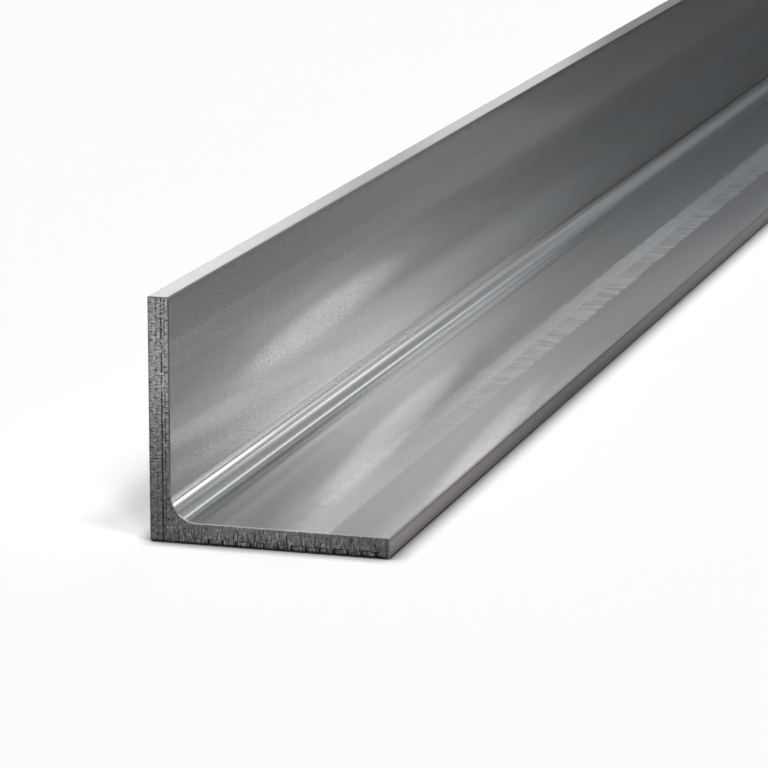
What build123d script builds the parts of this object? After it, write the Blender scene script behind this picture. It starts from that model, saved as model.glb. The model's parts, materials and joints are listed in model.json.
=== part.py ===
from build123d import *

import os

# Hot-rolled equal-leg steel angle, 90 x 90 x 8 mm, sawn to a 2 m length.
#
# The bar is one solid. Its flat leg lies on the floor and its upright leg stands along
# the heel, the outside corner. It runs along Y. X goes from the heel to the toe of the
# flat leg, and Z goes up. The origin is on the floor, half way along the bar and half
# way across the flat leg. Sizes are in millimetres.

# --- Driving dimensions ------------------------------------------------------------------

bar_length = 2000.0
flat_leg = 90.0  # width on the floor, from heel to toe
upright_leg = 90.0  # height, from the floor to the top edge
thickness = 8.0  # both legs are rolled to one thickness
root_radius = 10.0  # fillet in the inside corner
heel_radius = 1.2  # outside corner, nearly sharp
toe_under_radius = 1.5  # lower edge of the flat leg's toe
arris_radius = 0.5  # the other long edges, crisp but not sharp
deburr = 0.35  # chamfer that dresses both sawn ends

# --- Places that follow from them --------------------------------------------------------

heel_x = -flat_leg / 2  # outer face of the upright leg
toe_x = flat_leg / 2
root_x = heel_x + thickness  # inner face of the upright leg
root_z = thickness  # upper face of the flat leg

# --- Angle section -----------------------------------------------------------------------

with BuildPart() as angle_section:
    with BuildSketch(Plane.XZ):
        with BuildLine():
            Polyline(
                (heel_x, 0),
                (toe_x, 0),
                (toe_x, root_z),
                (root_x, root_z),
                (root_x, upright_leg),
                (heel_x, upright_leg),
                close=True,
            )
        make_face()

        # Each corner of the outline and the radius that the rolls leave there. A fillet
        # makes the outline anew, so each corner is looked up when its turn comes.
        corner_radii = {
            (root_x, root_z): root_radius,
            (heel_x, 0): heel_radius,
            (toe_x, 0): toe_under_radius,
            (toe_x, root_z): arris_radius,
            (root_x, upright_leg): arris_radius,
            (heel_x, upright_leg): arris_radius,
        }
        for corner, radius in corner_radii.items():
            fillet(vertices().sort_by_distance(corner)[0], radius)
    extrude(amount=bar_length / 2, both=True)

    # Both saw cuts have their burr filed off, all round the section.
    near_end, *_, far_end = faces().filter_by(Plane.XZ).sort_by(Axis.Y)
    chamfer(near_end.edges() + far_end.edges(), deburr)

angle_section.part.label = "angle_section"

# --- Export ------------------------------------------------------------------------------

os.makedirs("parts", exist_ok=True)
export_step(angle_section.part, "parts/angle_section.step")
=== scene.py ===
import json
import math

import bmesh
import bpy
from bpy.props import FloatProperty, FloatVectorProperty, PointerProperty
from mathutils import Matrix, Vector


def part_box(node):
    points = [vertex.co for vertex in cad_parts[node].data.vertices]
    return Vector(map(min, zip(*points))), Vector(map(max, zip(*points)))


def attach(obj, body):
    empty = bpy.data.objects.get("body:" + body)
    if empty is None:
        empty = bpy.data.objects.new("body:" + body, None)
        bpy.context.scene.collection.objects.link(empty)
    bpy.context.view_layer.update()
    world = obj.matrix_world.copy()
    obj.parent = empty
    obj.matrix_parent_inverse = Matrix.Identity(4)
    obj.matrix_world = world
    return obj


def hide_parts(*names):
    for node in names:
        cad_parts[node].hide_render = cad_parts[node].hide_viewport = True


bl_info = {
    "name": "Rolled Steel Angle",
    "version": (1, 0, 0),
    "blender": (4, 5, 0),
    "location": "View3D > Sidebar > Steel Angle",
    "description": "Models a sawn length of rolled steel angle, finishes its steel and lights it",
    "category": "Object",
}

MM = 0.001
NODE = "angle_section"

# The frame. The section's outline comes from the node's box and from its mounts.
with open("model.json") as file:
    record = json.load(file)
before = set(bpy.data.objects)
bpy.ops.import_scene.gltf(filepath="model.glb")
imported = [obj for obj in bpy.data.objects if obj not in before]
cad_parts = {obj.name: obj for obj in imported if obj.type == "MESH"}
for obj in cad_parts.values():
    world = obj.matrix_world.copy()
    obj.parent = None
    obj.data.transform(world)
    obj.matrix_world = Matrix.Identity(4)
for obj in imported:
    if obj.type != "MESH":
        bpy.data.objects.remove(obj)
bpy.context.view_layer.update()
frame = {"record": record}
low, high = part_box(NODE)
mount = {m["name"]: Vector(m["pos_m"]) for m in frame["record"]["mounts"]}
HEEL_X, TOE_X = low.x, high.x
FLOOR_Z, TOP_Z = low.z, high.z
NEAR_Y, FAR_Y = low.y, high.y
ROOT_X = mount["upright_inner_face"].x
ROOT_Z = mount["flat_leg_seat"].z
THICKNESS = ROOT_Z - FLOOR_Z
LEG = (TOE_X - HEEL_X) / MM  # width of a leg in millimetres, for the paint
TOUCH = 0.01 * MM  # two places this near are the same

FACES, EDGES, CUTS = range(3)  # the bar's material slots


# --- Nodes -------------------------------------------------------------------------------


class Graph:
    """Adds nodes to a tree and wires them up, so that a formula reads in a line."""

    def __init__(self, tree):
        self.tree = tree

    def put(self, socket, value):
        """Links a socket to another, or sets it to a value."""
        if isinstance(value, bpy.types.NodeSocket):
            self.tree.links.new(value, socket)
        else:
            socket.default_value = value

    def node(self, kind, inputs=(), **settings):
        """A new node with these settings. inputs pairs socket names or numbers with values."""
        made = self.tree.nodes.new(kind)
        for name, value in settings.items():
            setattr(made, name, value)
        for key, value in dict(inputs).items():
            self.put(made.inputs[key], value)
        return made

    def math(self, operation, *values, clamp=False):
        made = self.node("ShaderNodeMath", enumerate(values), operation=operation)
        made.use_clamp = clamp
        return made.outputs[0]

    def add(self, a, b):
        return self.math("ADD", a, b)

    def less(self, a, b):
        return self.math("SUBTRACT", a, b)

    def times(self, a, b):
        return self.math("MULTIPLY", a, b)

    def above(self, a, b):
        return self.math("GREATER_THAN", a, b)

    def most(self, *values):
        """The greatest of the values."""
        greatest = values[0]
        for value in values[1:]:
            greatest = self.math("MAXIMUM", greatest, value)
        return greatest

    def xyz(self, vector):
        return self.node("ShaderNodeSeparateXYZ", {0: vector}).outputs

    def vector(self, x=0.0, y=0.0, z=0.0):
        return self.node("ShaderNodeCombineXYZ", {0: x, 1: y, 2: z}).outputs[0]

    def scaled(self, vector, x, y, z):
        """The vector with each part times its own number."""
        made = self.node("ShaderNodeVectorMath", {0: vector, 1: (x, y, z)}, operation="MULTIPLY")
        return made.outputs[0]

    def noise(self, vector, detail=2.0, roughness=0.5):
        made = self.node(
            "ShaderNodeTexNoise",
            {"Vector": vector, "Scale": 1.0, "Detail": detail, "Roughness": roughness},
        )
        return made.outputs[0]

    def step(self, value, start, end, low=0.0, high=1.0):
        """value brought from start..end to low..high, smoothly and no further."""
        made = self.node(
            "ShaderNodeMapRange",
            {"Value": value, "From Min": start, "From Max": end, "To Min": low, "To Max": high},
            interpolation_type="SMOOTHSTEP",
        )
        return made.outputs[0]

    def line(self, value, place, half_width, soft):
        """1 where value is within half_width of place, falling to 0 over soft."""
        off = self.math("ABSOLUTE", self.less(value, place))
        return self.step(off, half_width, half_width + soft, 1.0, 0.0)

    def ramp(self, value, stops):
        """A grey for each place on a colour ramp. stops is a list of (place, grey)."""
        made = self.node("ShaderNodeValToRGB", {0: value})
        ramp = made.color_ramp
        while len(ramp.elements) < len(stops):
            ramp.elements.new(1.0)
        for element, (place, level) in zip(ramp.elements, stops):
            element.position = place
            element.color = grey(level)
        return made.outputs[0]

    def mix(self, share, a, b, blend_type="MIX"):
        """From a to b by share. Each is a socket, a colour, or a number that stands for a grey."""
        made = self.node("ShaderNodeMix", data_type="RGBA", blend_type=blend_type)
        sockets = [s for s in made.inputs if s.enabled]
        ends = [grey(value) if isinstance(value, (int, float)) else value for value in (a, b)]
        for socket, value in zip(sockets, (share, *ends)):
            self.put(socket, value)
        return [s for s in made.outputs if s.enabled][0]

    def product(self, *colours):
        """The colours multiplied together."""
        total = colours[0]
        for colour in colours[1:]:
            total = self.mix(1.0, total, colour, "MULTIPLY")
        return total


def grey(value):
    return (value, value, value, 1.0)


def opaque(colour):
    return (*colour, 1.0)


def new_group(name, inputs, outputs, kind="ShaderNodeTree"):
    """A node group, given as its graph, its input sockets and its output sockets. inputs is
    a list of (name, socket kind, default), and outputs a list of (name, socket kind)."""
    tree = bpy.data.node_groups.new(name, kind)
    for label, socket_kind, default in inputs:
        socket = tree.interface.new_socket(label, in_out="INPUT", socket_type=socket_kind)
        if default is not None:
            socket.default_value = default
    for label, socket_kind in outputs:
        tree.interface.new_socket(label, in_out="OUTPUT", socket_type=socket_kind)
    g = Graph(tree)
    return g, g.node("NodeGroupInput").outputs, g.node("NodeGroupOutput").inputs


def new_material(name):
    """A node material, its graph and its Principled shader."""
    material = bpy.data.materials.new(name)
    material.use_nodes = True
    g = Graph(material.node_tree)
    return material, g, g.tree.nodes["Principled BSDF"]


def object_place(g):
    """Where the shaded point is, in the object's own coordinates."""
    return g.node("ShaderNodeTexCoord").outputs["Object"]


# --- Steel ------------------------------------------------------------------------------


class Section:
    """Where a point is on the bar, in millimetres."""

    def __init__(self, g, place):
        x, y, z = g.xyz(g.scaled(place, 1 / MM, 1 / MM, 1 / MM))
        self.x = g.less(x, HEEL_X / MM)  # from the heel
        self.z = z
        self.along = g.less(y, NEAR_Y / MM)
        self.to_end = g.less(FAR_Y / MM, g.math("ABSOLUTE", y))
        self.leg = g.math("MAXIMUM", self.x, z)  # along its leg, from the heel
        self.depth = g.math("MINIMUM", self.x, z)  # across its leg, from the outer face
        self.turn = g.less(self.x, z)  # round the root, with 0 in the corner's middle
        self.upright = g.step(g.less(z, self.x), -0.5, 0.5)
        self.inner = g.above(self.depth, THICKNESS / MM / 2)
        self.flat_leg = g.less(1.0, self.upright)
        self.seat = g.times(self.flat_leg, self.inner)  # the flat leg's upper face


def grain_group():
    """Fine pits and brush marks, as a brightness about 1."""
    g, inlet, outlet = new_group(
        "grain",
        [("Along", "NodeSocketFloat", 0.0), ("Across", "NodeSocketFloat", 0.0),
         ("Amount", "NodeSocketFloat", 0.1)],
        [("Brightness", "NodeSocketFloat")],
    )
    place = g.vector(g.times(inlet["Along"], 0.5), g.times(inlet["Across"], 1.6))
    pits = g.noise(place, detail=2.0, roughness=0.7)
    swing = g.times(g.less(pits, 0.5), g.times(inlet["Amount"], 2.0))
    g.put(outlet["Brightness"], g.add(swing, 1.0))
    return g.tree


def mottle_group():
    """Cloudy patches that the scale leaves, as a share from 0 to 1."""
    g, inlet, outlet = new_group(
        "mottle",
        [("Along", "NodeSocketFloat", 0.0), ("Across", "NodeSocketFloat", 0.0),
         ("Length", "NodeSocketFloat", 100.0), ("Width", "NodeSocketFloat", 20.0)],
        [("Share", "NodeSocketFloat")],
    )
    place = g.vector(
        g.math("DIVIDE", inlet["Along"], inlet["Length"]),
        g.math("DIVIDE", inlet["Across"], inlet["Width"]),
    )
    g.put(outlet["Share"], g.step(g.noise(place, detail=3.0, roughness=0.6), 0.38, 0.62))
    return g.tree


def patch_group():
    """A soft oval patch: 1 in its middle, and 0 at its edge and beyond. Lean is how far it
    moves across the bar for each millimetre along."""
    names = ("Along", "Across", "Middle along", "Middle across", "Half length", "Half width", "Lean")
    g, inlet, outlet = new_group(
        "patch",
        [(name, "NodeSocketFloat", 1.0) for name in names],
        [("Share", "NodeSocketFloat")],
    )
    off = g.less(inlet["Along"], inlet["Middle along"])
    climb = g.less(g.less(inlet["Across"], inlet["Middle across"]), g.times(off, inlet["Lean"]))
    ends = g.math("DIVIDE", off, inlet["Half length"])
    sides = g.math("DIVIDE", climb, inlet["Half width"])
    reach = g.add(g.times(ends, ends), g.times(sides, sides))
    g.put(outlet["Share"], g.math("POWER", g.step(reach, 1.0, 0.0), 2.0))
    return g.tree


def use(g, tree, output, **inputs):
    """An output of a group placed in this graph, with these inputs. An input is named as its
    socket is, with _ for a space."""
    named = {name.capitalize().replace("_", " "): value for name, value in inputs.items()}
    return g.node("ShaderNodeGroup", named, node_tree=tree).outputs[output]


def patches(g, patch, along, across, places):
    """The brightness that soft patches of painted light and painted shade lend. places is a list
    of (middle along, middle across, half length, half width, lean, change of brightness), in mm."""
    total = 1.0
    for middle_along, middle_across, half_length, half_width, lean, change in places:
        share = use(
            g, patch, "Share", along=along, across=across, middle_along=middle_along,
            middle_across=middle_across, half_length=half_length, half_width=half_width, lean=lean,
        )
        total = g.math("MULTIPLY_ADD", share, change, total)
    return total


def bands(g, place, stops, far):
    """The brightness of lengthwise bands. stops is a list of (place in mm, brightness at the
    near end, brightness further along). far is 0 at the near end and 1 further along. A ramp
    holds no more than 1, so the brightnesses are halved on it and doubled after it."""
    start, end = stops[0][0], stops[-1][0]
    share = g.times(g.less(place, start), 1 / (end - start))
    near_ramp, far_ramp = (
        g.ramp(share, [((stop[0] - start) / (end - start), stop[kind] / 2) for stop in stops])
        for kind in (1, 2)
    )
    return g.times(g.mix(far, near_ramp, far_ramp), 2.0)


# Lengthwise bands along each leg's inner face, as (mm from the heel, brightness at the near
# end, brightness further along). They are partly the rolls' own bands and partly painted
# reflections and highlights that change along the bar. The one passes into the other from
# NEAR_BANDS to FAR_BANDS, in mm from the near end.
NEAR_BANDS = 80
FAR_BANDS = 430
UPRIGHT_BANDS_AND_REFLECTIONS = [
    (18, 2.0, 0.8), (22, 1.85, 0.68), (26, 1.45, 0.62), (31, 1.08, 0.56), (39.4, 0.84, 0.27),
    (40.4, 0.74, 0.2), (48, 0.84, 0.38), (54, 0.82, 0.6), (62.2, 0.7, 0.88), (63.2, 0.77, 1.06),
    (73, 1.06, 1.04), (74.2, 0.9, 0.97), (87, 0.85, 1.05), (89, 0.7, 0.7),
]
FLANGE_BANDS_AND_REFLECTIONS = [
    (21, 0.48, 1.18), (26, 0.54, 1.37), (31, 0.7, 1.55), (38, 0.88, 1.68), (49.8, 0.72, 1.95),
    (50.8, 1.08, 1.66), (57.4, 1.66, 1.82), (58.6, 1.68, 1.52), (66.7, 1.68, 1.55),
    (68, 1.12, 1.25), (77.8, 0.88, 1.3), (78.8, 0.9, 1.42), (80, 0.88, 1.33), (88, 1.12, 1.5),
]

# Painted highlight lines and painted dark reflections round the root, as bands by x - z: it is
# -10 where the upright's flat face ends, 0 in the corner's middle and 10 where the flat leg's
# face begins. The topmost pass into their further brightness as the upright's do, and the
# rest from ROOT_NEAR to ROOT_FAR.
ROOT_NEAR = 430
ROOT_FAR = 640
ROOT_PAINTED_HIGHLIGHT_BANDS = [
    (-11.5, 1.9, 0.8), (-8.9, 2.0, 0.9), (-8.2, 1.3, 0.75), (-7.5, 0.75, 0.7), (-6.7, 1.7, 0.68),
    (-4.8, 0.66, 0.62), (-4.1, 0.88, 1.8), (-3.4, 1.65, 1.8), (-2.3, 1.05, 1.65), (-1.5, 0.6, 1.3),
    (-0.5, 0.52, 1.18), (0.4, 0.93, 1.12), (1.3, 1.03, 1.05), (3.6, 1.0, 0.66), (4.8, 0.6, 0.46),
    (5.6, 0.32, 0.36), (7.4, 0.47, 0.38), (8.8, 0.42, 0.42), (11.1, 0.52, 0.5), (14.5, 0.4, 1.0),
]

# Painted highlights and painted dark reflections, as soft patches on the inner faces and round
# the root: middle along, middle across, half length, half width, lean, and change of brightness.
UPRIGHT_PAINTED_LIGHT = [
    (190, 45.5, 155, 12, 0.02, 1.15),
    (160, 26, 200, 13, -0.03, -0.48),
    (310, 57, 190, 11, 0.0, -0.28),
    (45, 58, 75, 10, 0.0, -0.15),
    (120, 32, 90, 8, -0.08, -0.25),
]
FLANGE_PAINTED_LIGHT = [
    (40, 23, 170, 7, 0.0, -0.6),
    (215, 27, 230, 19, 0.0, 0.35),
    (155, 45, 170, 11.5, -0.06, 1.25),
    (240, 54, 140, 8, 0.0, 0.2),
    (155, 84.5, 150, 8, -0.06, 0.6),
    (600, 42, 250, 15, 0.0, 0.2),
    (510, 79, 190, 17, 0.0, 0.25),
]
ROOT_PAINTED_LIGHT = [
    (30, 13, 150, 4.5, 0.0, -0.55),
    (350, 8.8, 300, 4.8, 0.0, 2.4),
    (320, 7.8, 190, 1.5, 0.0, 1.2),
    (320, 4.8, 200, 0.9, 0.0, 0.35),
    (450, 6.3, 330, 2.6, 0.0, 1.2),
    (270, 12.6, 260, 5, 0.0, 0.8),
    (360, -6.3, 280, 1.0, 0.0, 0.75),
    (210, -2.4, 230, 1.0, 0.0, 0.9),
    (450, -2.9, 150, 1.3, 0.0, 0.4),
    (220, -0.6, 150, 1.0, 0.0, -0.25),
    (40, -4.6, 130, 1.3, 0.0, 1.1),
    (40, -8.9, 220, 0.8, 0.0, 0.18),
]
# Below this height the upright's painted highlights and dark reflections fade to a half.
PAINTED_LIGHT_FOOT = 39.8  # the upright's patches fade to a half below this height, in mm

# Tints of the steel, as factors on its colour.
WARM_STEEL = (1.008, 1.0, 0.99, 1.0)
COOL_STEEL = (0.988, 1.0, 1.01, 1.0)
BLUE_STEEL = (0.96, 1.0, 1.035, 1.0)
ROSY_STEEL = (1.035, 0.975, 1.0, 1.0)


def strokes_across(g, at):
    """Short strokes across the bar, from dark to light about 0."""
    place = g.vector(g.times(at.along, 0.2), g.times(at.leg, 0.03))
    return g.less(g.noise(place, detail=4.0, roughness=0.75), 0.5)


def comb_of_teeth(g, at):
    """The teeth along the scuffed band's edge, from -1 to 1."""
    place = g.vector(g.times(at.along, 0.18), g.times(at.leg, 0.04), 4.0)
    return g.step(g.noise(place, detail=3.0, roughness=0.7), 0.38, 0.62, -1.0, 1.0)


def leg_bands_and_painted_light(g, at, patch, ragged, far):
    """Bands along both legs, partly the rolls' own and partly painted reflections, and soft patches
    of painted highlight and painted dark reflection on their inner faces.
    """
    lengthwise = g.mix(at.upright, bands(g, ragged, FLANGE_BANDS_AND_REFLECTIONS, far),
                       bands(g, ragged, UPRIGHT_BANDS_AND_REFLECTIONS, far))
    above_foot = g.step(ragged, PAINTED_LIGHT_FOOT - 0.4, PAINTED_LIGHT_FOOT + 0.4, 0.5, 1.0)
    on_upright = g.less(patches(g, patch, at.along, at.leg, UPRIGHT_PAINTED_LIGHT), 1.0)
    on_upright = g.add(1.0, g.times(above_foot, on_upright))
    on_flat_leg = patches(g, patch, at.along, at.leg, FLANGE_PAINTED_LIGHT)
    # Painted highlights and painted dark reflections on the inner faces.
    glow = g.mix(at.upright, on_flat_leg, on_upright)
    return g.times(lengthwise, g.mix(at.inner, 1.0, glow))


def root_painted_highlights(g, at, patch, strokes, far):
    """Painted highlight lines, painted dark reflections and patches of both round the root. The
    topmost bands pass into their further brightness with the upright's, and the upper ones fray
    further along."""
    fray = g.times(g.step(at.along, 100, 250, 0.0, 2.2), g.step(at.turn, -2.0, -5.0))
    frayed = g.add(at.turn, g.times(strokes, fray))
    topmost = g.step(at.turn, -6.8, -8.2)
    root_far = g.mix(topmost, g.step(at.along, ROOT_NEAR, ROOT_FAR), far)
    return g.times(bands(g, frayed, ROOT_PAINTED_HIGHLIGHT_BANDS, root_far),
                   patches(g, patch, at.along, at.turn, ROOT_PAINTED_LIGHT))


def scuffs(g, at, ragged, strokes, teeth):
    """The flat leg's scuffed band, which is less scuffed and darker further along: how scuffed the
    steel is, from 0 to 1, and the brightness that it and the strokes lend, about 1."""
    worn = g.step(at.along, 520, 760, 1.0, 0.65)
    band = g.times(g.times(g.step(ragged, 49.8, 50.8), g.step(ragged, 68.0, 66.8)), at.seat)
    comb = g.times(g.line(ragged, place=62.5, half_width=3.8, soft=1.0), g.times(teeth, 0.14))
    marks = g.times(g.times(at.seat, g.step(at.along, 120, 330)), comb)
    hatch = g.times(strokes, g.mix(at.upright, 0.25, 0.10))
    fading = g.times(band, g.times(g.less(worn, 1.0), 0.3))
    return g.times(band, worn), g.add(g.add(1.0, fading), g.add(marks, hatch))


def paint_edge_shade(g, at, level):
    """The brightness of a face, with painted shade under the toe, a painted dark line along both
    toes' arrises, and painted shade on the deburred chamfers of both ends, deeper on the upright
    leg."""
    painted_shade_under_toe = g.times(g.step(at.z, 1.6, 1.2), g.step(at.x, LEG - 1.8, LEG - 1.2))
    level = g.times(level, g.step(painted_shade_under_toe, 0, 1, 1.0, 0.2))
    level = g.times(level, g.step(at.leg, LEG - 0.8, LEG - 0.3, 1.0, 0.6))
    painted_chamfer_shade = g.step(at.to_end, 0.45, 0.35)
    return g.mix(painted_chamfer_shade, level, g.mix(at.upright, 0.9, 0.45))


def face_tint(g, at, mottle):
    """Warm and cool clouds, bluer far along the flat leg and rosy up the upright one."""
    cloud = use(g, mottle, "Share", along=at.along, across=at.leg, length=190.0, width=24.0)
    blue = g.times(at.flat_leg, g.step(at.along, 350, 800))
    rosy = g.times(g.times(at.upright, g.step(at.leg, 55, 75)), g.step(at.along, 600, 950, 0.3, 1.0))
    return g.product(
        g.mix(cloud, WARM_STEEL, COOL_STEEL),
        g.mix(blue, 1.0, BLUE_STEEL),
        g.mix(rosy, 1.0, ROSY_STEEL),
    )


def rolled_face_material(look, grain, mottle, patch):
    """The broad faces of both legs: grey steel as it leaves the rolls, with painted highlights,
    reflections and shade.
    """
    material, g, shader = new_material("rolled faces")
    at = Section(g, object_place(g))
    strokes, teeth = strokes_across(g, at), comb_of_teeth(g, at)
    # The bands' edges are ragged with strokes, and the scuffed band's outer edge with teeth.
    ragged = g.add(at.leg, g.times(strokes, g.mix(at.upright, 5.0, 9.0)))
    by_edge = g.times(g.line(at.leg, place=67.0, half_width=3.0, soft=3.0), 0.75)
    ragged = g.less(ragged, g.times(g.times(g.step(at.along, 150, 400), by_edge), teeth))
    far = g.step(at.along, NEAR_BANDS, FAR_BANDS)
    off_middle = g.math("ABSOLUTE", g.less(at.turn, 1.5))
    in_root = g.times(at.inner, g.step(off_middle, 13.0, 11.5))
    level = g.mix(in_root, leg_bands_and_painted_light(g, at, patch, ragged, far),
                  root_painted_highlights(g, at, patch, strokes, far))
    scuff, scuff_level = scuffs(g, at, ragged, strokes, teeth)
    speckle = use(g, grain, "Brightness", along=at.along, across=at.leg,
                  amount=g.mix(in_root, g.mix(at.upright, 0.5, 0.7), 0.25))
    level = paint_edge_shade(g, at, g.times(g.times(level, scuff_level), speckle))
    colour = g.product(opaque(look.face_colour), face_tint(g, at, mottle), level)
    g.put(shader.inputs["Base Color"], colour)
    # The scuffs and the strip outside them scatter more light than the smooth steel does.
    outside = g.times(g.step(ragged, 66.8, 68.0), at.seat)
    dull = g.add(g.times(scuff, 0.07), g.times(outside, 0.05))
    g.put(shader.inputs["Metallic"], g.less(0.955, dull))
    g.put(shader.inputs["Roughness"], g.add(0.13, g.times(scuff, 0.12)))
    # The rolls leave the faces slightly wavy, and the root less so.
    waves = g.noise(g.vector(g.times(at.along, 0.035), g.times(at.leg, 0.1)), detail=0.0)
    waves = g.times(waves, g.step(in_root, 0, 1, 1.0, 0.2))
    bump = g.node("ShaderNodeBump", {"Height": waves, "Distance": 0.006 * MM, "Strength": 1.0})
    g.put(shader.inputs["Normal"], bump.outputs[0])
    return material


# How the brightness changes across the narrow edges, from the outer face to the inner one: on
# the flat leg's toe, and on the top of the upright leg. It is painted shade: the toe is nearly
# black at the floor, and both edges darken at their inner arris.
TOE_PAINTED_SHADE = [(0.0, 0.02), (0.12, 0.05), (0.23, 0.35), (0.38, 0.64), (0.56, 0.84), (0.75, 0.95),
              (0.86, 0.66), (1.0, 0.27)]
TOP_PAINTED_SHADE = [(0.0, 1.0), (0.7, 1.0), (0.85, 0.9), (1.0, 0.75)]

# Tints of the toe's edge, and of its near end.
TOE_TINT = (1.04, 0.98, 1.0, 1.0)
TOE_END_TINT = (1.2, 0.93, 1.0, 1.0)


def rolled_edge_material(look, grain, mottle):
    """The narrow edges of both toes, with painted shade across them."""
    material, g, shader = new_material("rolled edges")
    at = Section(g, object_place(g))
    across = g.times(at.depth, MM / THICKNESS)
    cloud = use(g, mottle, "Share", along=at.along, across=at.leg, length=26.0, width=30.0)
    speckle = use(g, grain, "Brightness", along=at.along, across=at.depth, amount=0.3)
    rosy = g.mix(g.step(at.along, 250, 30), TOE_TINT, TOE_END_TINT)
    tint = g.mix(at.upright, g.mix(g.times(cloud, 0.5), rosy, 1.0), 1.0)
    # Painted shade across the toe and the top edge.
    shade = g.mix(at.upright, g.ramp(across, TOE_PAINTED_SHADE), g.ramp(across, TOP_PAINTED_SHADE))
    colour = g.product(opaque(look.edge_colour), tint, g.times(shade, speckle))
    g.put(shader.inputs["Base Color"], colour)
    shader.inputs["Metallic"].default_value = 0.95
    g.put(shader.inputs["Roughness"], g.add(0.08, g.times(cloud, 0.06)))
    return material


def dash(g, at, across, up, seed, start, end):
    """Dashes: 1 where a stretched noise passes from start to end. across and up are how many
    of them there are in a millimetre, across and up the cut."""
    place = g.vector(g.times(at.x, across), g.times(at.z, up), seed)
    return g.step(g.noise(place, detail=1.0), start, end)


def saw_threads(g, at):
    """Fine dashes all over the cut: tall and upright ones on the flat leg, and stitches across
    the upright one."""
    fine = dash(g, at, across=2.0, up=0.42, seed=0.0, start=0.41, end=0.35)
    stitches = dash(g, at, across=0.5, up=2.3, seed=7.0, start=0.43, end=0.37)
    tall = dash(g, at, across=1.5, up=0.16, seed=13.0, start=0.41, end=0.35)
    low_half = g.step(at.z, 5.0, 3.0, 0.45, 1.0)
    on_upright = g.most(g.times(fine, 0.6), stitches)
    on_flat_leg = g.most(tall, fine, g.times(stitches, low_half))
    return g.mix(at.upright, on_flat_leg, on_upright)


def saw_scores(g, at):
    """Long scores that wander down the upright leg, and one crack across it. The main score
    breaks into dashes further up, and the others are broken all the way."""
    wander = g.add(at.x, g.times(g.less(g.noise(g.vector(g.times(at.z, 0.5))), 0.5), 0.5))
    main_breaks = dash(g, at, across=0.1, up=0.5, seed=5.0, start=0.44, end=0.5)
    main_breaks = g.math("MINIMUM", g.add(main_breaks, g.step(at.z, 62, 50)), 1.0)
    second_breaks = dash(g, at, across=0.1, up=0.5, seed=6.0, start=0.42, end=0.5)
    third_breaks = dash(g, at, across=0.1, up=0.6, seed=8.0, start=0.5, end=0.56)
    crack = g.line(at.z, place=30.8, half_width=0.1, soft=0.1)
    return g.most(
        g.times(g.line(wander, place=5.1, half_width=0.14, soft=0.16), main_breaks),
        g.times(g.line(wander, place=6.3, half_width=0.08, soft=0.16), second_breaks),
        g.times(g.line(wander, place=3.2, half_width=0.04, soft=0.16), third_breaks),
        g.times(crack, g.step(at.x, 5.2, 4.6)),
    )


def saw_notches(g, at):
    """A row of notches along the flat leg's lower edge, with a broken joint above it."""
    notch = g.step(g.math("PINGPONG", g.less(at.x, 22.3), 2.6), 0.5, 0.34)
    notch = g.times(notch, g.times(g.step(at.z, 2.6, 2.3), g.step(at.x, 18.0, 20.0)))
    joint_breaks = dash(g, at, across=0.35, up=0.1, seed=9.0, start=0.5, end=0.45)
    joint = g.times(g.line(at.z, place=2.3, half_width=0.1, soft=0.12), joint_breaks)
    return g.most(notch, g.times(joint, g.step(at.x, 20.0, 45.0, 0.3, 1.0)))


def saw_marks(g, at):
    """How deep the saw has marked an end, from 0 to 1: its fine threads, and its deep marks."""
    return saw_threads(g, at), g.most(saw_scores(g, at), saw_notches(g, at))


# How the tone of an end changes up the upright leg, and along the flat one, in linear grey. On
# the upright leg it holds painted shade, darker towards the floor.
UPRIGHT_CUT_TONE_AND_SHADE = [(0.0, 0.1), (0.1, 0.1), (0.25, 0.12), (0.45, 0.175), (0.65, 0.28), (1.0, 0.265)]
FLANGE_CUT_TONE_AND_SHADE = [(0.0, 0.105), (0.15, 0.12), (0.3, 0.14), (0.6, 0.14), (0.8, 0.112), (1.0, 0.1)]

# Tints of the ends, as factors on their colour.
WARM_CUT = (1.05, 1.0, 0.97, 1.0)
TEAL_CUT = (0.97, 1.03, 0.99, 1.0)
VIOLET_CUT = (1.01, 0.99, 1.04, 1.0)


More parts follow.
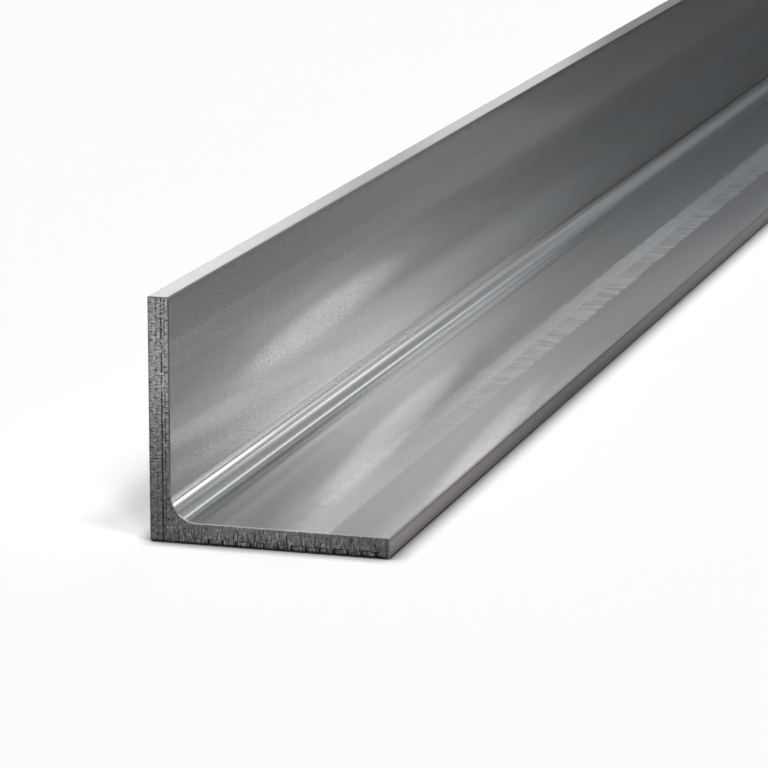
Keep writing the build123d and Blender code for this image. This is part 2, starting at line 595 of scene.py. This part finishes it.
def saw_cut_material(look, grain, mottle):
    """The raw ends, scored by the saw, with painted glints and painted shade."""
    material, g, shader = new_material("saw cuts")
    at = Section(g, object_place(g))
    threads, deep = saw_marks(g, at)
    share = g.times(at.leg, MM / (TOP_Z - FLOOR_Z))
    tone_and_shade = g.mix(at.upright, g.ramp(share, FLANGE_CUT_TONE_AND_SHADE), g.ramp(share, UPRIGHT_CUT_TONE_AND_SHADE))
    # Painted glints: light dashes that stand in for highlights on the cut.
    painted_glints = g.mix(
        at.upright,
        dash(g, at, across=2.0, up=0.42, seed=20.0, start=0.58, end=0.66),
        dash(g, at, across=0.65, up=1.6, seed=21.0, start=0.54, end=0.62),
    )
    painted_glints = g.times(painted_glints, g.mix(at.upright, 1.25, 0.62))
    speckle = use(g, grain, "Brightness", along=g.times(at.x, 3.0), across=at.z,
                  amount=g.mix(at.upright, 0.6, 0.42))
    level = g.times(g.add(1.0, painted_glints), speckle)
    # The saw's threads and deep marks are painted darker: painted shade in the grooves.
    level = g.times(level, g.less(1.0, g.times(threads, 0.68)))
    level = g.times(level, g.less(1.0, g.times(deep, 0.88)))
    # Painted shade: the cut is darker at the floor and at the heel.
    level = g.times(level, g.step(at.z, 0.8, 1.3, 0.25, 1.0))
    level = g.times(level, g.step(at.x, 0.3, 1.2, 0.6, 1.0))
    cloud = use(g, mottle, "Share", along=at.x, across=at.z, length=7.0, width=9.0)
    tint = g.mix(g.step(at.z, 45, 60), g.mix(cloud, WARM_CUT, TEAL_CUT), VIOLET_CUT)
    colour = g.product(opaque(look.cut_colour), tint, g.times(tone_and_shade, level))
    g.put(shader.inputs["Base Color"], colour)
    shader.inputs["Metallic"].default_value = 0.85
    g.put(shader.inputs["Roughness"], g.add(0.4, g.times(threads, 0.3)))
    return material


# --- Bar --------------------------------------------------------------------------------


def edit_mesh(piece):
    """The open edit mesh, with fresh lookups."""
    return bmesh.from_edit_mesh(piece.data)


def select_faces(piece, test):
    """Selects the faces that pass the test, and nothing else."""
    bpy.ops.mesh.select_all(action="DESELECT")
    mesh = edit_mesh(piece)
    for face in mesh.faces:
        face.select_set(test(face))
    bmesh.update_edit_mesh(piece.data)


def select_edges_along(piece, x, z):
    """Selects the long edges that run along the bar at this place in the section."""
    bpy.ops.mesh.select_all(action="DESELECT")
    mesh = edit_mesh(piece)
    for edge in mesh.edges:
        at_place = all(abs(v.co.x - x) < TOUCH and abs(v.co.z - z) < TOUCH for v in edge.verts)
        edge.select_set(at_place)
    bmesh.update_edit_mesh(piece.data)


def select_faces_by_slot(piece, index):
    """Selects the faces that have this material slot."""
    mesh = edit_mesh(piece)
    for face in mesh.faces:
        face.select_set(face.material_index == index)


def round_edge(piece, x, z, radius, segments):
    """Rounds the bar's long edge at this place in the section."""
    select_edges_along(piece, x, z)
    bpy.ops.mesh.bevel(
        offset=radius, offset_type="OFFSET", segments=segments, profile=0.5, affect="EDGES"
    )


def is_end(face):
    return abs(face.normal.y) > 0.99


def rough_bar(bar):
    """An L-shaped prism with sharp corners: the flat leg, and the upright drawn up from it."""
    depth = FAR_Y - NEAR_Y - 2 * bar.deburr
    middle = ((HEEL_X + TOE_X) / 2, (NEAR_Y + FAR_Y) / 2, (FLOOR_Z + ROOT_Z) / 2)
    size = (TOE_X - HEEL_X, depth, ROOT_Z - FLOOR_Z)
    bpy.ops.object.select_all(action="DESELECT")
    bpy.ops.mesh.primitive_cube_add(size=1.0, location=middle, scale=size)
    bpy.ops.object.transform_apply(location=True, rotation=True, scale=True)
    piece = bpy.context.object
    piece.name = piece.data.name = "steel_angle"
    bpy.ops.object.mode_set(mode="EDIT")
    bpy.ops.mesh.select_mode(type="FACE")
    bpy.ops.mesh.select_all(action="SELECT")
    bpy.ops.mesh.bisect(plane_co=(ROOT_X, 0, 0), plane_no=(1, 0, 0))
    select_faces(piece, lambda f: f.normal.z > 0.9 and f.calc_center_median().x < ROOT_X)
    bpy.ops.mesh.extrude_region_move(
        TRANSFORM_OT_translate={"value": (0, 0, TOP_Z - ROOT_Z)}
    )
    select_faces(piece, is_end)
    bpy.ops.mesh.dissolve_faces()
    bpy.ops.mesh.select_all(action="SELECT")
    bpy.ops.mesh.dissolve_limited(angle_limit=math.radians(1))
    return piece


def round_corners(piece, bar):
    """The root fillet, the heel, the toe's lower edge and the crisp arrises."""
    bpy.ops.mesh.select_mode(type="EDGE")
    for x, z, radius, segments in (
        (ROOT_X, ROOT_Z, bar.root_radius, 20),
        (HEEL_X, FLOOR_Z, bar.heel_radius, 6),
        (TOE_X, FLOOR_Z, bar.toe_under_radius, 6),
        (TOE_X, ROOT_Z, bar.arris_radius, 4),
        (ROOT_X, TOP_Z, bar.arris_radius, 4),
        (HEEL_X, TOP_Z, bar.arris_radius, 4),
    ):
        round_edge(piece, x, z, radius, segments)
    bpy.ops.mesh.select_mode(type="FACE")


def dress_ends(piece, bar):
    """Raises both ends by the deburring chamfer, and gives each part of the bar its slot."""
    select_faces(piece, is_end)
    bpy.ops.mesh.inset(thickness=bar.deburr, depth=bar.deburr, use_even_offset=True)
    mesh = edit_mesh(piece)
    for face in mesh.faces:
        middle = face.calc_center_median()
        on_toe = middle.x > TOE_X - TOUCH or middle.z > TOP_Z - TOUCH
        face.material_index = CUTS if is_end(face) else EDGES if on_toe else FACES
        face.smooth = True
    bmesh.update_edit_mesh(piece.data)


def grid_lines(start, end, pitch):
    """Places from start to end, a pitch apart, without the ends themselves."""
    count = round((end - start) / pitch)
    return [start + pitch * i for i in range(1, count)]


def grid_ends(piece, pitch):
    """Cuts both ends into small squares, for the saw marks to bend."""
    planes = [((x, 0, 0), (1, 0, 0)) for x in grid_lines(HEEL_X, TOE_X, pitch)]
    planes += [((0, 0, z), (0, 0, 1)) for z in grid_lines(FLOOR_Z, TOP_Z, pitch)]
    for place, normal in planes:
        select_faces_by_slot(piece, CUTS)
        bpy.ops.mesh.bisect(plane_co=place, plane_no=normal)


def smooth_shading(piece):
    """Shades the rounds smoothly, with the wide faces kept flat beside them."""
    bpy.ops.object.shade_smooth_by_angle(angle=math.radians(30))
    weighted = piece.modifiers.new("flat faces", "WEIGHTED_NORMAL")
    weighted.weight = 100
    weighted.keep_sharp = True
    bpy.ops.object.modifier_apply(modifier=weighted.name)


def score_ends(piece, bar):
    """Sinks the saw's marks into both ends."""
    g, inlet, outlet = new_group(
        "saw marks",
        [("Geometry", "NodeSocketGeometry", None)],
        [("Geometry", "NodeSocketGeometry")],
        "GeometryNodeTree",
    )
    place = g.node("GeometryNodeInputPosition").outputs[0]
    _, y, _ = g.xyz(place)
    on_end = g.above(g.math("ABSOLUTE", y), FAR_Y - TOUCH)
    threads, deep = saw_marks(g, Section(g, place))
    sunk = g.add(g.times(threads, bar.thread_depth), g.times(deep, bar.score_depth))
    inward = g.times(sunk, g.times(g.math("SIGN", y), -1.0))
    moved = g.node(
        "GeometryNodeSetPosition",
        {"Geometry": inlet["Geometry"], "Selection": on_end, "Offset": g.vector(y=inward)},
    )
    g.put(outlet["Geometry"], moved.outputs["Geometry"])
    marks = piece.modifiers.new("saw marks", "NODES")
    marks.node_group = g.tree
    bpy.ops.object.modifier_apply(modifier=marks.name)


def lay_out(piece):
    """Lays the surface out flat for baking: two long strips, and both ends at a larger scale.
    A strip follows z - x, which grows steadily from one toe round the root to the other."""
    strip = 0.24  # width of a strip, and both strips start a quarter apart
    gap = 0.01  # between the ends' squares and what is beside them
    end = 0.5 - gap  # side of an end's square
    mesh = bmesh.new()
    mesh.from_mesh(piece.data)
    layer = mesh.loops.layers.uv.new("OFBake")
    side = TOP_Z - FLOOR_Z
    for face in mesh.faces:
        outer = face.normal.z < -0.7 or face.normal.x < -0.7
        far = face.calc_center_median().y > 0
        for loop in face.loops:
            x, y, z = loop.vert.co
            if face.material_index == CUTS:
                u = 0.5 + gap + (x - HEEL_X) / side * end
                v = z / side * end + (0.5 if far else 0.0) + gap / 2
            else:
                u = (0.5 + (z - (x - HEEL_X)) / side / 2) * strip + (0.25 if outer else 0.0)
                v = (y - NEAR_Y) / (FAR_Y - NEAR_Y)
            loop[layer].uv = (u + gap / 2, v)
    mesh.to_mesh(piece.data)
    mesh.free()


def make_bar(bar, look):
    """The whole bar: its shape, its finishes and its marks."""
    piece = rough_bar(bar)
    grain, mottle, patch = grain_group(), mottle_group(), patch_group()
    piece.data.materials.append(rolled_face_material(look, grain, mottle, patch))
    piece.data.materials.append(rolled_edge_material(look, grain, mottle))
    piece.data.materials.append(saw_cut_material(look, grain, mottle))
    round_corners(piece, bar)
    dress_ends(piece, bar)
    grid_ends(piece, bar.grid_pitch)
    bpy.ops.object.mode_set(mode="OBJECT")
    score_ends(piece, bar)
    lay_out(piece)
    smooth_shading(piece)
    return piece


# --- Settings ----------------------------------------------------------------------------


class BarSettings(bpy.types.PropertyGroup):
    """Sizes of the bar's edges and of the marks on its ends."""

    root_radius: FloatProperty(
        name="Root radius", description="Fillet in the inside corner", default=10 * MM, unit="LENGTH"
    )
    heel_radius: FloatProperty(
        name="Heel radius", description="Outside corner", default=1.2 * MM, unit="LENGTH"
    )
    toe_under_radius: FloatProperty(
        name="Toe radius", description="Lower edge of the flat leg's toe", default=1.5 * MM,
        unit="LENGTH",
    )
    arris_radius: FloatProperty(
        name="Arris radius", description="The other long edges", default=0.5 * MM, unit="LENGTH"
    )
    deburr: FloatProperty(
        name="Deburring", description="Chamfer round both sawn ends", default=0.35 * MM,
        unit="LENGTH",
    )
    grid_pitch: FloatProperty(
        name="Grid pitch", description="Size of the squares on the sawn ends", default=0.25 * MM,
        unit="LENGTH",
    )
    thread_depth: FloatProperty(
        name="Thread depth", description="Depth of the saw's fine threads", default=0.06 * MM,
        unit="LENGTH",
    )
    score_depth: FloatProperty(
        name="Score depth", description="Depth of the saw's long scores and notches",
        default=0.18 * MM, unit="LENGTH",
    )


class LookSettings(bpy.types.PropertyGroup):
    """Colours of the steel."""

    face_colour: FloatVectorProperty(
        name="Faces", description="Broad rolled faces", default=(0.42, 0.42, 0.42),
        subtype="COLOR", min=0, max=1,
    )
    edge_colour: FloatVectorProperty(
        name="Edges", description="Narrow toe edges", default=(0.42, 0.42, 0.42),
        subtype="COLOR", min=0, max=1,
    )
    cut_colour: FloatVectorProperty(
        name="Cuts", description="Sawn ends", default=(1.0, 1.0, 1.0),
        subtype="COLOR", min=0, max=1,
    )


class StageSettings(bpy.types.PropertyGroup):
    """Camera, floor and lights."""

    lens: FloatProperty(name="Lens", description="Focal length in mm", default=193.6)
    camera_place: FloatVectorProperty(
        name="Camera", description="Where the camera stands", default=(0.4433, -2.3542, 0.3834),
        subtype="TRANSLATION",
    )
    yaw: FloatProperty(
        name="Yaw", description="Camera's turn to the left of straight along the bar",
        default=math.radians(16.476), subtype="ANGLE",
    )
    pitch: FloatProperty(
        name="Pitch", description="Camera's tilt below level", default=math.radians(12.757),
        subtype="ANGLE",
    )
    floor_grey: FloatProperty(name="Floor grey", description="Colour of the floor", default=0.92)
    ambient: FloatProperty(name="Ambient", description="Light from all round", default=0.093)
    contact: FloatProperty(
        name="Contact shade", description="How far the dark under the bar's edges reaches",
        default=8 * MM, unit="LENGTH",
    )
    sun_angle: FloatProperty(
        name="Sun angle", description="How wide each light is, which softens its shadow",
        default=math.radians(12), subtype="ANGLE",
    )


# --- Stage -------------------------------------------------------------------------------

WHITE = 0.98  # the pale background

# Tints of the lights.
NEUTRAL = (1.0, 1.0, 1.0)
SOFT_WARM = (1.008, 1.0, 0.995)
WARM = (1.03, 1.0, 0.98)
COOL = (0.94, 1.0, 1.045)


def make_camera(stage):
    """A long lens in front of the bar's near end and above it, looking along the bar."""
    camera = bpy.data.cameras.new("camera")
    camera.lens = stage.lens
    camera.sensor_width = 36.0
    camera.clip_start, camera.clip_end = 0.05, 100.0
    holder = bpy.data.objects.new("camera", camera)
    bpy.context.scene.collection.objects.link(holder)
    holder.location = stage.camera_place
    holder.rotation_euler = (math.pi / 2 - stage.pitch, 0.0, stage.yaw)
    bpy.context.scene.camera = holder


def seen_directly(g):
    """1 on the rays that show the background: from the camera, off metal and through glass."""
    path = g.node("ShaderNodeLightPath").outputs
    rays = g.add(path["Is Camera Ray"], path["Is Glossy Ray"])
    return g.math("ADD", rays, path["Is Transmission Ray"], clamp=True)


def make_floor(stage):
    """A pale floor, which shows the same white where it is seen in the steel."""
    bpy.ops.object.select_all(action="DESELECT")
    bpy.ops.mesh.primitive_plane_add(size=60.0, location=(0, 0, FLOOR_Z))
    floor = bpy.context.object
    floor.name = floor.data.name = "floor"
    material, g, shader = new_material("floor")
    # Its colour is painted darker close to the bar: a painted contact shadow.
    near_bar = g.node("ShaderNodeAmbientOcclusion", {"Distance": stage.contact}, samples=8)
    open_floor = g.math("POWER", near_bar.outputs["AO"], 1.5)
    g.put(shader.inputs["Base Color"], g.mix(open_floor, 0.0, stage.floor_grey))
    shader.inputs["Roughness"].default_value = 1.0
    shader.inputs["Specular IOR Level"].default_value = 0.0
    floor.data.materials.append(material)


def make_card(name, place, size, level, fade=(0, 0), across=False, flat=False, tint=NEUTRAL):
    """A card that shows in the steel alone: it stands facing -Y, or lies facing up. level is
    its brightness, or a list of (place, brightness) from its lower or near edge to the
    opposite one, or from its left edge to its right one. The places are in metres, as its
    own place is. fade is how far its edges fade across its width and its height."""
    bpy.ops.object.select_all(action="DESELECT")
    bpy.ops.mesh.primitive_plane_add(size=1.0, location=(0, 0, 0))
    card = bpy.context.object
    card.name = card.data.name = name
    card.scale = (size[0], size[1], 1.0)
    bpy.ops.object.transform_apply(location=False, rotation=False, scale=True)
    card.rotation_euler = (0.0 if flat else math.pi / 2, 0.0, 0.0)
    card.location = place
    for ray in ("camera", "diffuse", "shadow", "transmission", "volume_scatter"):
        setattr(card, "visible_" + ray, False)
    material, g, shader = new_material(name)
    g.tree.nodes.remove(shader)
    x, y, _ = g.xyz(object_place(g))
    if isinstance(level, list):
        way, length, middle = (x, size[0], place[0]) if across else (
            y, size[1], place[1] if flat else place[2])
        stops = [((spot - middle) / length + 0.5, brightness) for spot, brightness in level]
        level = g.ramp(g.math("MULTIPLY_ADD", way, 1.0 / length, 0.5), stops)
    glow = g.node("ShaderNodeEmission", {"Color": opaque(tint), "Strength": level}).outputs[0]
    clear = g.node("ShaderNodeBsdfTransparent").outputs[0]
    shape = 1.0
    for way, length, soft in zip((x, y), size, fade):
        if soft:
            inside = g.step(g.math("ABSOLUTE", way), length / 2, length / 2 - soft)
            shape = g.times(shape, inside)
    both = g.node("ShaderNodeMixShader", {0: shape, 1: clear, 2: glow})
    g.put(g.tree.nodes["Material Output"].inputs["Surface"], both.outputs[0])
    card.data.materials.append(material)
    return card


def make_sun(name, share, elevation, azimuth, stage):
    """A soft parallel light. share is how much of the floor's brightness comes from it.
    azimuth is measured from +Y towards +X."""
    lamp = bpy.data.lights.new(name, "SUN")
    lamp.angle = stage.sun_angle
    lamp.energy = share * math.pi / (stage.floor_grey * math.sin(elevation))
    holder = bpy.data.objects.new(name, lamp)
    bpy.context.scene.collection.objects.link(holder)
    flat = math.cos(elevation)
    toward = (flat * math.sin(azimuth), flat * math.cos(azimuth), math.sin(elevation))
    holder.rotation_euler = Vector(toward).to_track_quat("Z", "Y").to_euler()
    return holder


# Each light's share of the floor's brightness, and its elevation and azimuth in degrees. Those
# to the right and in front draw the bar's shadow on its left, and the rest keep the floor pale.
SUNS = {
    "key_high": (0.29, 68, 120),
    "key_low": (0.20, 44, 150),
    "overhead": (0.12, 86, 200),
    "fill_high": (0.13, 79, 262),
    "fill_mid": (0.10, 70, 280),
    "fill_low": (0.05, 58, 285),
}


def make_suns(stage):
    """The parallel lights, as SUNS lists them."""
    for name, (share, elevation, azimuth) in SUNS.items():
        make_sun(name, share, math.radians(elevation), math.radians(azimuth), stage)


def make_world(stage):
    """The light from all round, and the white that shows behind everything."""
    world = bpy.data.worlds.new("world")
    bpy.context.scene.world = world
    world.use_nodes = True
    g = Graph(world.node_tree)
    level = g.node(
        "ShaderNodeMapRange",
        {"Value": seen_directly(g), "To Min": stage.ambient, "To Max": WHITE},
    )
    background = world.node_tree.nodes["Background"]
    g.put(background.inputs["Color"], grey(1.0))
    g.put(background.inputs["Strength"], level.outputs[0])


BACK_Y = 3.0  # the cards behind the bar stand here
LAYER = 0.01  # a card in front of another is this much nearer

# How bright the surroundings are that the steel mirrors, as (place in metres, brightness).
BACKDROP = [(0.0, 0.05), (0.35, 0.06), (0.5, 0.10), (0.7, 0.27), (0.85, 0.37), (1.1, 0.45),
            (1.7, 0.60)]
LEFT_SIDE = [(-1.4, 1.25), (-1.25, 1.0), (-1.18, 0.74), (-1.11, 0.70), (-1.05, 0.92),
             (-0.90, 0.88), (-0.82, 0.34), (-0.1, 0.30)]
GROUND = [(-1.3, 0.42), (-0.6, 0.33), (-0.27, 0.31), (-0.02, 0.24), (0.04, 0.17), (0.2, 0.135),
          (0.45, 0.10), (1.7, 0.09)]
BESIDE_TOE = [(-1.3, 0.45), (-0.95, 0.40), (-0.73, 0.21), (-0.45, 0.28), (0.0, 0.24),
              (0.05, 0.16), (1.7, 0.10)]


def make_cards():
    """Soft boxes and dark cards round the bar, which its steel mirrors."""
    front = BACK_Y - LAYER
    make_card("backdrop", (0, BACK_Y, 1.0), (6.0, 2.0), BACKDROP, tint=COOL)
    make_card("low_light", (1.9, front, 0.32), (2.1, 0.62), 2.4, fade=(1.0, 0.22))
    make_card("main_light", (1.08, front - LAYER, 0.98), (0.82, 0.82), 2.0, fade=(0.41, 0.41),
              tint=SOFT_WARM)
    make_card("between_lights", (1.35, front - 3 * LAYER, 0.56), (0.74, 0.36), 0.75,
              fade=(0.3, 0.18))
    make_card("strip_light", (0.24, front - 2 * LAYER, 1.65), (0.3, 1.0), 1.9, fade=(0.08, 0.2))
    make_card("left_side", (-1.2, front, 0.9), (2.2, 1.2), LEFT_SIDE, across=True)
    # Two cards lie just above the floor beside the toe, one next to the other.
    height, middle, length = 0.5 * MM, 0.85, 4.3
    start, split, end = TOE_X + 0.5 * MM, TOE_X + 10 * MM, TOE_X + 2.6
    for name, left, right, brightness in (
        ("beside_toe", start, split, BESIDE_TOE),
        ("ground", split, end, GROUND),
    ):
        place, size = ((left + right) / 2, middle, height), (right - left, length)
        make_card(name, place, size, brightness, flat=True, tint=WARM)


# --- Operators ---------------------------------------------------------------------------


class STEELANGLE_OT_bar(bpy.types.Operator):
    """Model the bar with its rolled faces and sawn ends"""

    bl_idname = "steel_angle.bar"
    bl_label = "Bar"

    def execute(self, context):
        piece = make_bar(context.scene.steel_angle_bar, context.scene.steel_angle_look)
        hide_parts(NODE)
        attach(piece, "root")
        return {"FINISHED"}


class STEELANGLE_OT_stage(bpy.types.Operator):
    """Set up the floor, the lights, the world and the camera"""

    bl_idname = "steel_angle.stage"
    bl_label = "Stage"

    def execute(self, context):
        stage = context.scene.steel_angle_stage
        make_camera(stage)
        make_floor(stage)
        make_world(stage)
        make_cards()
        make_suns(stage)
        context.scene.view_settings.view_transform = "Standard"
        return {"FINISHED"}


class STEELANGLE_PT_panel(bpy.types.Panel):
    bl_label = "Steel Angle"
    bl_idname = "STEELANGLE_PT_panel"
    bl_space_type = "VIEW_3D"
    bl_region_type = "UI"
    bl_category = "Steel Angle"

    def draw(self, context):
        for name in SETTINGS:
            group = getattr(context.scene, name)
            box = self.layout.box()
            for prop in group.bl_rna.properties:
                if prop.identifier not in ("rna_type", "name"):
                    box.prop(group, prop.identifier)
        self.layout.operator(STEELANGLE_OT_bar.bl_idname)
        self.layout.operator(STEELANGLE_OT_stage.bl_idname)


SETTINGS = {
    "steel_angle_bar": BarSettings,
    "steel_angle_look": LookSettings,
    "steel_angle_stage": StageSettings,
}
CLASSES = (*SETTINGS.values(), STEELANGLE_OT_bar, STEELANGLE_OT_stage, STEELANGLE_PT_panel)


def register():
    for cls in CLASSES:
        bpy.utils.register_class(cls)
    for name, cls in SETTINGS.items():
        setattr(bpy.types.Scene, name, PointerProperty(type=cls))


def unregister():
    for name in SETTINGS:
        delattr(bpy.types.Scene, name)
    for cls in reversed(CLASSES):
        bpy.utils.unregister_class(cls)


def main():
    register()
    bpy.ops.steel_angle.bar()
    bpy.ops.steel_angle.stage()


if __name__ == "__main__":
    main()
